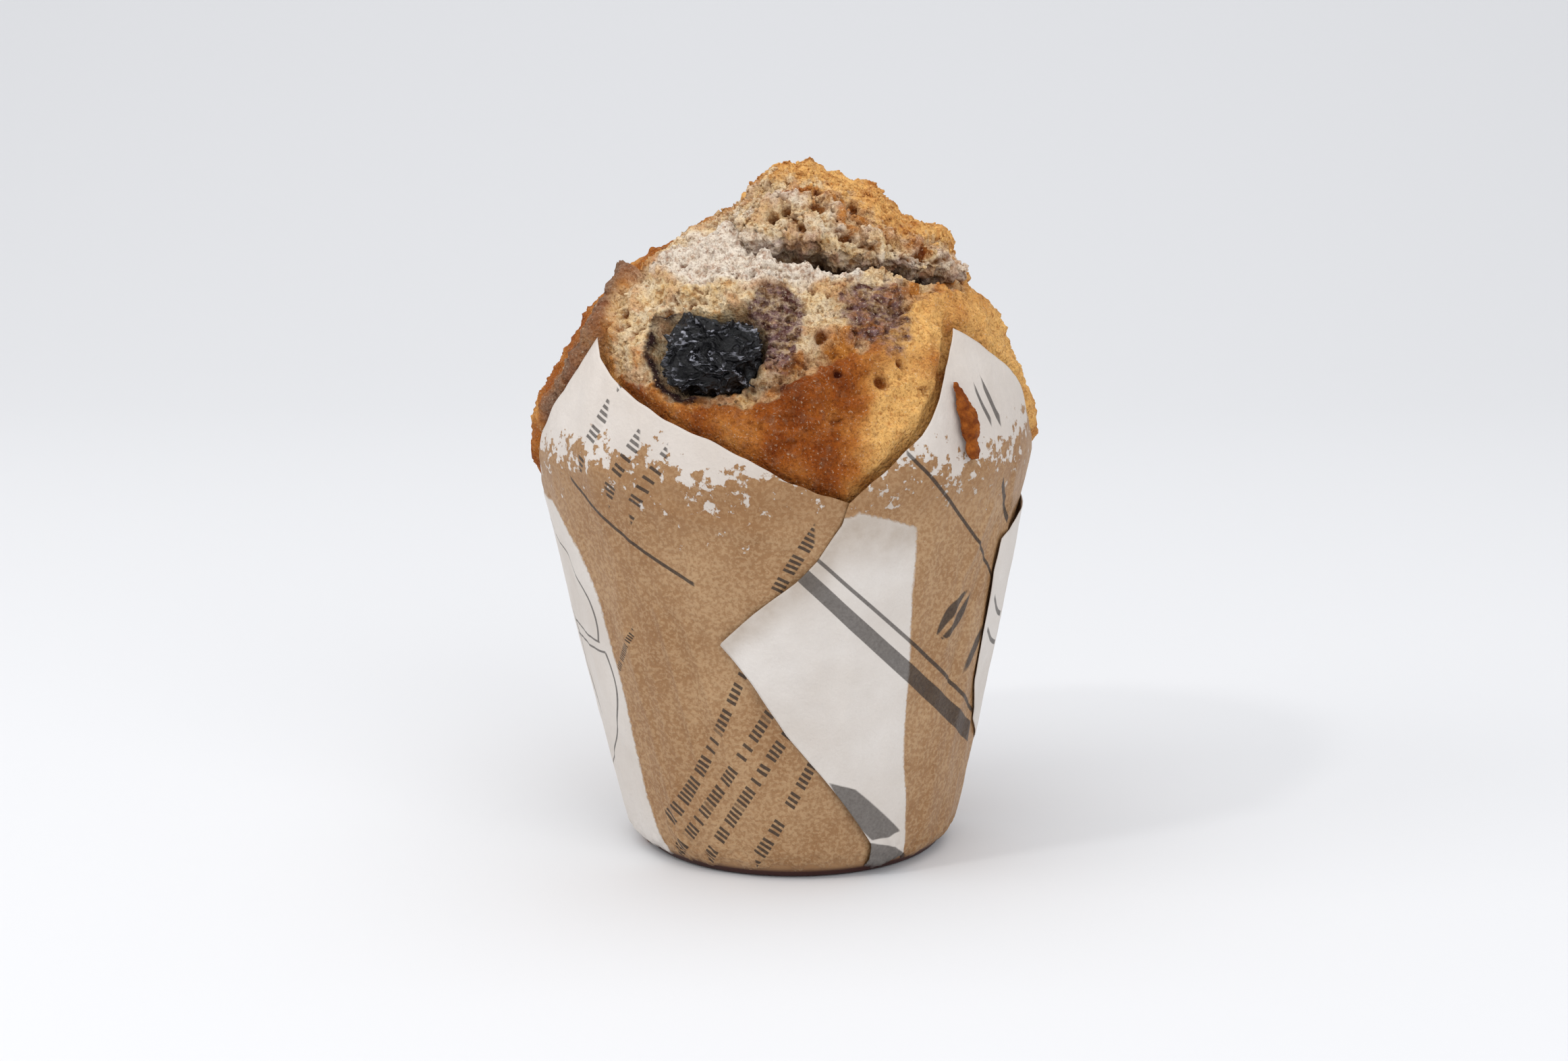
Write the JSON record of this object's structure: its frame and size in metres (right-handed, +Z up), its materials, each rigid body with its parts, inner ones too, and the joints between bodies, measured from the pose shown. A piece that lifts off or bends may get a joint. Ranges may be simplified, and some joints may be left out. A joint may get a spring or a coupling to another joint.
{
  "type": "muffin",
  "caption": "Tall blueberry muffin with a burst, domed crown, baked in a folded tulip case of greaseproof paper with pointed petals.",
  "frame": {"origin": "centre of the outline at the base, on the flat underside of the paper case", "axes": "+Z up through the crown, -Y towards the side with the exposed berry and the pleat, +X to the right of that side"},
  "size_m": [0.0808, 0.0808, 0.1127],
  "materials": {
    "crust_and_crumb": "porous baked crust, matt",
    "berry_skin": "wrinkled fruit skin, half gloss",
    "greaseproof_paper": "printed greaseproof paper, stained by butter",
    "crust_shard": "dark baked crust, matt"
  },
  "bodies": {
    "root": {"muffin": "crust_and_crumb", "blueberry": "berry_skin", "paper_case": "greaseproof_paper", "crust_shard": "crust_shard"}
  },
  "joints": []
}
